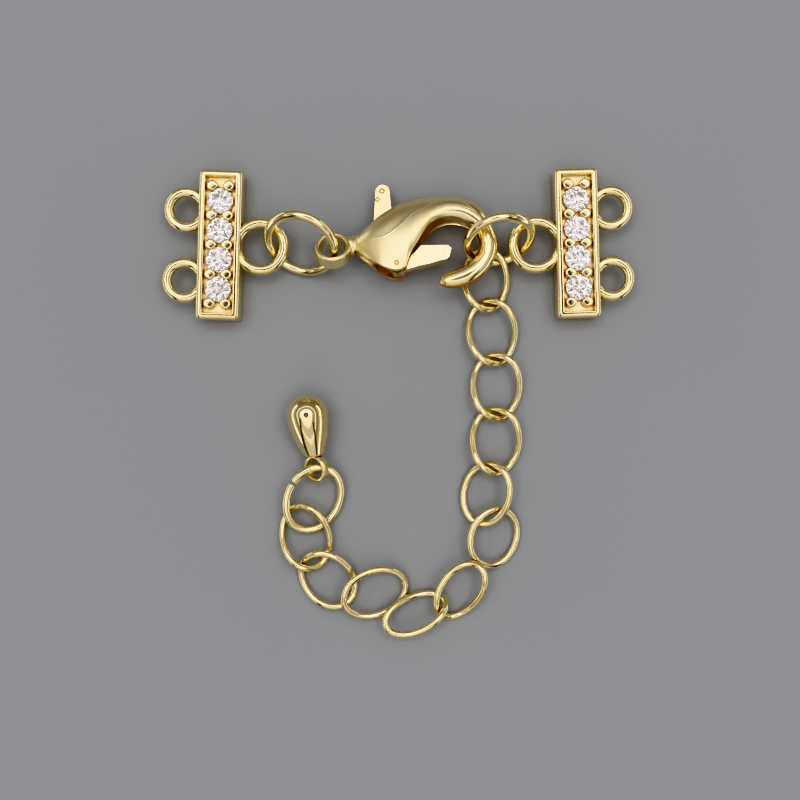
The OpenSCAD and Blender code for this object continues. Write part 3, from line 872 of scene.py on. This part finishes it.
def grown(outline, by):
    """A counter-clockwise or clockwise outline moved outwards."""
    points = [Vector(p) for p in outline]
    area = sum(a.x * b.y - b.x * a.y for a, b in zip(points, points[1:] + points[:1]))
    sign = 1 if area > 0 else -1
    made = []
    for i, p in enumerate(points):
        a = (p - points[i - 1]).normalized()
        b = (points[(i + 1) % len(points)] - p).normalized()
        na = Vector((a.y, -a.x)) * sign
        nb = Vector((b.y, -b.x)) * sign
        middle = (na + nb).normalized()
        made.append(tuple(p + middle * (by / max(middle.dot(na), 0.4))))
    return made


def lever_shapes(grow):
    """The convex shapes of the tab and the body, and the gate's outline."""
    return [hull(circle(TAB_TIP, TAB_TIP_R + grow) + circle(TAB_ROOT, TAB_ROOT_R + grow)),
            hull(circle(PIN_AT, HUB_R + grow) + circle(TAB_ROOT, TAB_ROOT_R + grow)),
            grown(GATE_EDGE, grow) if grow else list(GATE_EDGE)]


def claw_matrix():
    return place(CLAW_AT, turn(CLAW_PITCH, "Y"), turn(CLAW_ROLL, "X"))


def claw_body(name):
    """The cast claw: its lofted body, its eye, and the cuts for the lever."""
    sizes = bpy.context.scene.clasp_claw
    base = claw_matrix()
    rows = [np.array(row) for row in CLAW_ROWS]
    last = len(rows) - 1
    count = last * SECTIONS_PER_ROW + 1
    rings = [claw_section(row_at(rows, u), np.interp(u, *CREASE_AT), np.interp(u, *CREASE_DEPTH),
                          groove_depth(u)) for u in np.linspace(0, last, count)]
    crease = [base @ Vector(ring[CREASE_POINT]) for ring in rings]
    tip = np.array((*CLAW_TIP, 0.0))
    end = [np.array(p) for p in rings[-1]]
    middle = sum(end) / len(end)
    for a in (35, 60, 78, 88):
        far = middle + (tip - middle) * sin_deg(a)
        rings.append([far + (p - middle) * cos_deg(a) for p in end])
    piece = loft(name, rings, matrix=base)
    eye_at = base @ place(EYE_AT, turn(EYE_ROLL, "X"))
    eye_r = in_mm(sizes.eye_od) / 2
    profile = band_profile(eye_r, in_mm(sizes.eye_wall), in_mm(sizes.eye_h) / 2)
    combine(piece, lathe("eye", profile, 72, eye_at, True), "UNION")
    bead = [(sin_deg(a), -cos_deg(a)) for a in range(0, 181, 9)]
    bead[0] = (0.0, -1.0)
    bead[-1] = (0.0, 1.0)
    neck = base @ place(NECK_AT, Matrix.Diagonal((*NECK_R, 1.0)))
    combine(piece, lathe("neck", bead, 40, neck), "UNION")
    half = in_mm(sizes.lever) / 2 + LEVER_GAP
    angles = np.linspace(0, OPEN_ANGLE, 6)
    tools = [prism("sweep", hull(about_pin(shape, a) + about_pin(shape, b)), half, base)
             for shape in lever_shapes(LEVER_GAP) for a, b in zip(angles, angles[1:])]
    bore = circle(PIN_AT, in_mm(sizes.pin) / 2 + PIN_GAP)
    hole = circle((0, 0), eye_r - in_mm(sizes.eye_wall), 64)
    tools.append(prism("mouth", MOUTH, MOUTH_HALF, base))
    tools.append(prism("pocket", POCKET, POCKET_HALF, base))
    tools.append(prism("bore", bore, PIN_LENGTH / 2 + PIN_GAP, base))
    tools.append(prism("hole", hole, 2.0, eye_at))
    combine(piece, joined("cuts", tools), "DIFFERENCE", True)
    tidy(piece)
    mark_crease(piece, crease)
    smooth(piece, 35)
    return piece


def mark_crease(piece, line):
    """Gives the vertices along the crease a value, which is 1 where it is deepest."""
    tree = KDTree(len(line))
    for i, spot in enumerate(line):
        tree.insert(spot, i)
    tree.balance()
    values = piece.data.attributes.new(CREASE_LINE, "FLOAT", "POINT").data
    for vertex, entry in zip(piece.data.vertices, values):
        _, i, away = tree.find(vertex.co)
        if away < CREASE_NEAR:
            entry.value = float(np.interp(i / SECTIONS_PER_ROW, *CREASE_DEPTH) / max(CREASE_DEPTH[1]))


def band_profile(r, wall, half):
    """Section of a band: a slot standing upright, with half-round ends."""
    soft = wall / 2
    return [(r - soft + soft * cos_deg(a), way * (half - soft) + soft * sin_deg(a))
            for way, start in ((1, 0), (-1, 180)) for a in range(start, start + 181, 15)]


def lever_plate(name):
    """The lever: gate, hub and thumb tab in one flat plate with softened edges."""
    sizes = bpy.context.scene.clasp_claw
    base = claw_matrix()
    half = in_mm(sizes.lever) / 2
    plates = [prism("plate", shape, half, base) for shape in lever_shapes(0)]
    piece = plates[0]
    piece.name = name
    combine(piece, plates[1], "UNION")
    combine(piece, plates[2], "UNION")
    combine(piece, prism("bore", circle(PIN_AT, in_mm(sizes.pin) / 2 + PIN_GAP), 2.0, base), "DIFFERENCE")
    with reshaped(piece.data) as shape:
        bmesh.ops.remove_doubles(shape, verts=shape.verts, dist=0.003)
        bmesh.ops.dissolve_limit(shape, angle_limit=math.radians(1), verts=shape.verts, edges=shape.edges)
        rim = [e for e in shape.edges if len(e.link_faces) == 2 and e.calc_face_angle() > math.radians(30)]
        bmesh.ops.bevel(shape, geom=rim, offset=0.06, offset_type="OFFSET", segments=4, profile=0.5,
                        affect="EDGES", clamp_overlap=True)
    smooth(piece, 30)
    upright = base.col[2].to_3d()
    for face in piece.data.polygons:
        face.use_smooth = abs(face.normal.dot(upright)) < 0.999
    return piece


def rise(row, t):
    return row[5] * cos_deg(t) + row[6] * sin_deg(t) - row[7] * sin_deg(t) * cos_deg(t)


def link_path(row, d, angles):
    """Centre line of a link that rests on the table."""
    rest = d / 2 + TABLE_GAP - min(rise(row, t) for t in range(0, 360, 5))
    c = cos_deg(row[2])
    s = sin_deg(row[2])
    path = []
    for t in angles:
        a = row[3] * cos_deg(t)
        b = row[4] * (1 + row[8] * cos_deg(t)) * sin_deg(t)
        path.append((row[0] + a * c - b * s, row[1] + a * s + b * c, rest + rise(row, t)))
    return path


def drop_radius(s, d, long):
    if s < DROP_BALL_AT:
        return d / 2 * math.sqrt(max(0.0, 1 - ((DROP_BALL_AT - s) / DROP_BALL_AT) ** 2))
    return DROP_NECK_R + (d / 2 - DROP_NECK_R) * cos_deg(90 * (s - DROP_BALL_AT) / (long - DROP_BALL_AT))


def drop_bead(name):
    """The drop with the eye that joins it to the end ring."""
    sizes = bpy.context.scene.clasp_chain
    d = in_mm(sizes.drop_d)
    long = in_mm(sizes.drop_l)
    base = place((*DROP_AT, d / 2 + 2 * TABLE_GAP), turn(DROP_HEADING, "Z"), turn(DROP_SLOPE, "Y"))
    stations = [DROP_BALL_AT * (1 - cos_deg(a)) for a in range(0, 90, 4)]
    stations += list(np.linspace(DROP_BALL_AT, long - 0.08, 40))
    profile = [(drop_radius(s, d, long), s) for s in stations]
    profile += [(DROP_NECK_R - 0.03, long - 0.02), (DROP_NECK_R - 0.12, long), (0.0, long)]
    piece = lathe(name, profile, 96, base @ turn(90, "Y") @ place((0, 0, -DROP_BALL_AT)))
    eye_x = long - DROP_BALL_AT + DROP_EYE_OD / 2 - DROP_EYE_SINK
    eye_at = base @ place((eye_x, 0, 0), turn(DROP_EYE_TURN, "X"))
    band = lathe("eye", band_profile(DROP_EYE_OD / 2, DROP_EYE_WALL, DROP_EYE_W / 2), 64, eye_at, True)
    combine(piece, band, "UNION")
    tidy(piece)
    smooth(piece, 35)
    return piece


class ClaspOperator:
    """Settings that all the operators share."""

    bl_options = {"REGISTER", "UNDO"}


class CLASP_OT_end_bars(ClaspOperator, bpy.types.Operator):
    """Builds the two stone-set end bars with their loops"""

    bl_idname = "clasp.end_bars"
    bl_label = "End Bars"

    def execute(self, context):
        sizes = context.scene.clasp_bars
        gold = gold_finish("bar gold", 0.8, 1.2, floor=in_mm(sizes.high) - in_mm(sizes.channel))
        for side, place_of in BARS.items():
            piece = end_bar(f"{side}_end_bar", place_of)
            finish_piece(piece, gold, BODY, GOLD_SLOT, f"{side}_bar")
        return {"FINISHED"}


class CLASP_OT_stones(ClaspOperator, bpy.types.Operator):
    """Sets the cut stones in the end bars"""

    bl_idname = "clasp.stones"
    bl_label = "Stones"

    def execute(self, context):
        clear = stone_finish("cut stone")
        pitch = in_mm(context.scene.clasp_stones.pitch)
        girdle_z = in_mm(context.scene.clasp_bars.high) - GIRDLE_DROP
        for side, place_of in BARS.items():
            base = place(place_of["at"], turn(place_of["turn"], "Z"))
            for i in range(1, STONE_COUNT + 1):
                spin = turn(place_of["facets"] + FACETS_STEP * i, "Z")
                at = base @ place((0, stone_y(i, pitch), girdle_z), spin)
                piece = brilliant(f"{side}_brilliant_{i}", at)
                finish_piece(piece, clear, BODY, STONE_SLOT, f"stone_{side}_{i}")
        return {"FINISHED"}


class CLASP_OT_jump_rings(ClaspOperator, bpy.types.Operator):
    """Builds the two jump rings that carry the clasp"""

    bl_idname = "clasp.jump_rings"
    bl_label = "Jump Rings"

    def execute(self, context):
        sizes = context.scene.clasp_rings
        gold = gold_finish("ring gold", 0.6, 1.0)
        d = in_mm(sizes.wire)
        for side, od in (("left", in_mm(sizes.left_od)), ("right", in_mm(sizes.right_od))):
            lies = JUMP_RINGS[side]
            rest_z = (od - d) / 2 * sin_deg(lies["tilt"]) + d / 2 + TABLE_GAP
            at = place((*lies["at"], rest_z), turn(lies["high"] - 90, "Z"), turn(lies["tilt"], "X"))
            piece = torus(f"{side}_ring", od, d, at, 144, 28)
            smooth(piece)
            finish_piece(piece, gold, BODY, GOLD_SLOT, f"{side}_jump_ring")
        return {"FINISHED"}


class CLASP_OT_claw(ClaspOperator, bpy.types.Operator):
    """Builds the lobster claw's cast body"""

    bl_idname = "clasp.claw"
    bl_label = "Claw"

    def execute(self, context):
        gold = gold_finish("claw gold", 1.4, 1.0, worn=SHELL_WORN, pits=PIN_MARK, claw=True)
        finish_piece(claw_body("claw"), gold, BODY, GOLD_SLOT, "clasp_body")
        return {"FINISHED"}


class CLASP_OT_lever(ClaspOperator, bpy.types.Operator):
    """Builds the lever with its gate and thumb tab, and finishes its pin"""

    bl_idname = "clasp.lever"
    bl_label = "Lever"

    def execute(self, context):
        gold = gold_finish("lever gold", 1.8, 1.5, worn=HUB_WORN, pits=TAB_PITS, deep=0.25)
        finish_piece(lever_plate("gate_lever"), gold, LEVER_BODY, GOLD_SLOT, "lever")
        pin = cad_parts["lever_pin"]
        pin.data.materials.clear()
        pin.data.materials.append(gold_finish("pin gold", 1.6, 1.6))
        smooth(pin, 35)
        return {"FINISHED"}


class CLASP_OT_chain(ClaspOperator, bpy.types.Operator):
    """Builds the links of the extender chain and the open ring that ends it"""

    bl_idname = "clasp.chain"
    bl_label = "Chain"

    def execute(self, context):
        sizes = context.scene.clasp_chain
        gold = gold_finish("chain gold", 0.6, 1.2)
        d = in_mm(sizes.link_wire)
        for i, row in enumerate(LINKS, 1):
            path = link_path(row, d, np.linspace(0, 360, 96, endpoint=False))
            piece = wire(f"chain_link_{i}", path, d * WIRE_SHARE)
            smooth(piece)
            finish_piece(piece, gold, BODY, GOLD_SLOT, f"link_{i}")
        d = in_mm(sizes.end_wire)
        start = END_GAP_AT + END_GAP / 2
        path = link_path(END_ROW, d, np.linspace(start, start + 360 - END_GAP, 120))
        piece = wire("open_end_ring", path, d * WIRE_SHARE, 24, False, None, END_ROUNDING)
        smooth(piece, 40)
        finish_piece(piece, gold, BODY, GOLD_SLOT, "end_ring")
        return {"FINISHED"}


class CLASP_OT_drop(ClaspOperator, bpy.types.Operator):
    """Builds the drop that ends the chain"""

    bl_idname = "clasp.drop"
    bl_label = "Drop"

    def execute(self, context):
        gold = gold_finish("drop gold", 0.8, 0.7, deep=0.06)
        finish_piece(drop_bead("drop_bead"), gold, BODY, GOLD_SLOT, "drop")
        return {"FINISHED"}


class CLASP_OT_stage(ClaspOperator, bpy.types.Operator):
    """Builds the table, the soft studio light and the camera above"""

    bl_idname = "clasp.stage"
    bl_label = "Stage"

    def execute(self, context):
        stage = context.scene.clasp_stage
        half = in_mm(stage.floor_size) / 2
        floor = object_from("table", [(-half, -half, 0), (half, -half, 0), (half, half, 0), (-half, half, 0)],
                            [(0, 1, 2, 3)])
        floor.data.transform(Matrix.Scale(MM, 4))
        material, r = new_recipe("table grey")
        shader = r.node("ShaderNodeBsdfPrincipled", {}, {
            "Base Color": (*stage.floor, 1.0), "Roughness": 0.85, "Specular IOR Level": 0.15})
        r.node("ShaderNodeOutputMaterial", {}, {"Surface": shader})
        floor.data.materials.append(material)
        studio_world(stage.light)
        high = stage.camera_height
        data = bpy.data.cameras.new("camera")
        data.sensor_width = 36.0
        data.lens = data.sensor_width * high / stage.view_width
        data.clip_start = 0.001
        data.clip_end = 10.0
        camera = new_object("camera", data)
        camera.location = (0.0, 0.0, high)
        bpy.context.scene.camera = camera
        context.scene.view_settings.view_transform = "Khronos PBR Neutral"
        context.scene.view_settings.look = "Very High Contrast"
        return {"FINISHED"}


def studio_world(strength):
    """A light tent, dim and warm all round. Overhead it has a bright ring and a dark hole for the lens with
    a glint in the middle. Lower down it has a rail of light, and panels in front and at the sides with dark
    gaps between them. Where the camera looks past the table, it is an even grey."""
    world = bpy.data.worlds.new("light tent")
    world.use_nodes = True
    bpy.context.scene.world = world
    r = Recipe(world.node_tree)
    where = r.node("ShaderNodeTexCoord", {}, {}, 0)
    split = r.node("ShaderNodeSeparateXYZ", {}, {0: where})
    parts = split.socket.node.outputs
    x, y, z = (Value(r, parts[k]) for k in range(3))
    wide = abs(x)
    near = r.ramp(y, -0.36, -0.26, 1.0, 0.0)
    top = r.ramp(z, 0.50, 0.80)
    ring = r.ramp(z, 0.82, 0.87) * r.ramp(z, 0.94, 0.965, 1.0, 0.0) * r.ramp(y, -0.3, 0.1, 0.35, 1.0)
    middle = r.ramp(z, 0.93, 0.96)
    front = near * r.ramp(wide, 0.44, 0.50, 1.0, 0.0) * r.ramp(z, 0.06, 0.16)
    sides = r.ramp(wide, 0.64, 0.70) * r.ramp(z, 0.02, 0.08) * r.ramp(z, 0.34, 0.44, 1.0, 0.0)
    gap = near * r.ramp(wide, 0.50, 0.54) * r.ramp(wide, 0.60, 0.64, 1.0, 0.0) * r.ramp(z, 0.05, 0.12)
    rail = r.ramp(z, 0.56, 0.60) * r.ramp(z, 0.64, 0.68, 1.0, 0.0)
    panels = (front * 0.2).most(sides * 0.15 + sides * r.ramp(z, 0.16, 0.22, 1.0, 0.0) * 0.9)
    level = 0.155 + r.ramp(z, -0.1, 0.5) * 0.065
    level = level + (top * 0.08 + ring * 1.45 + middle * 0.22 + rail * 0.45).most(panels)
    level = level * (1.0 - gap * 0.97)
    level = level * r.ramp(z, 0.976, 0.982, 1.0, 0.04) + r.ramp(z, 0.9965, 0.9985) * 0.5
    tint = r.mix(top.most(panels), (1.0, 0.96, 0.90), (1.0, 1.0, 1.02))
    seen = r.node("ShaderNodeLightPath", {}, {}, 0)
    tint = r.mix(seen, tint, (1.0, 1.0, 1.0))
    level = level * (1.0 - seen) + seen * BACKDROP
    background = r.node("ShaderNodeBackground", {}, {"Color": tint, "Strength": level * strength})
    r.node("ShaderNodeOutputWorld", {}, {"Surface": background})


STEPS = (CLASP_OT_end_bars, CLASP_OT_stones, CLASP_OT_jump_rings, CLASP_OT_claw, CLASP_OT_lever,
         CLASP_OT_chain, CLASP_OT_drop, CLASP_OT_stage)

SETTINGS = {
    "clasp_bars": BarSizes,
    "clasp_stones": StoneSizes,
    "clasp_rings": RingSizes,
    "clasp_claw": ClawSizes,
    "clasp_chain": ChainSizes,
    "clasp_finish": FinishSettings,
    "clasp_stage": StageSettings,
}


class CLASP_PT_parts(bpy.types.Panel):
    """Lists the clasp's parts and their sizes"""

    bl_idname = "CLASP_PT_parts"
    bl_label = "Two-Strand Clasp"
    bl_space_type = "VIEW_3D"
    bl_region_type = "UI"
    bl_category = "Clasp"

    def draw(self, context):
        layout = self.layout
        for step in STEPS:
            layout.operator(step.bl_idname)
        for name, group in SETTINGS.items():
            box = layout.box()
            box.label(text=name.replace("clasp_", "").title())
            for key in group.__annotations__:
                box.prop(getattr(context.scene, name), key)


CLASSES = (*SETTINGS.values(), *STEPS, CLASP_PT_parts)


def register():
    for one in CLASSES:
        bpy.utils.register_class(one)
    for name, group in SETTINGS.items():
        setattr(bpy.types.Scene, name, PointerProperty(type=group))


def unregister():
    for name in SETTINGS:
        delattr(bpy.types.Scene, name)
    for one in reversed(CLASSES):
        bpy.utils.unregister_class(one)


def main():
    register()
    for step in STEPS:
        group, name = step.bl_idname.split(".")
        getattr(getattr(bpy.ops, group), name)()
    bpy.context.view_layer.update()


if __name__ == "__main__":
    main()
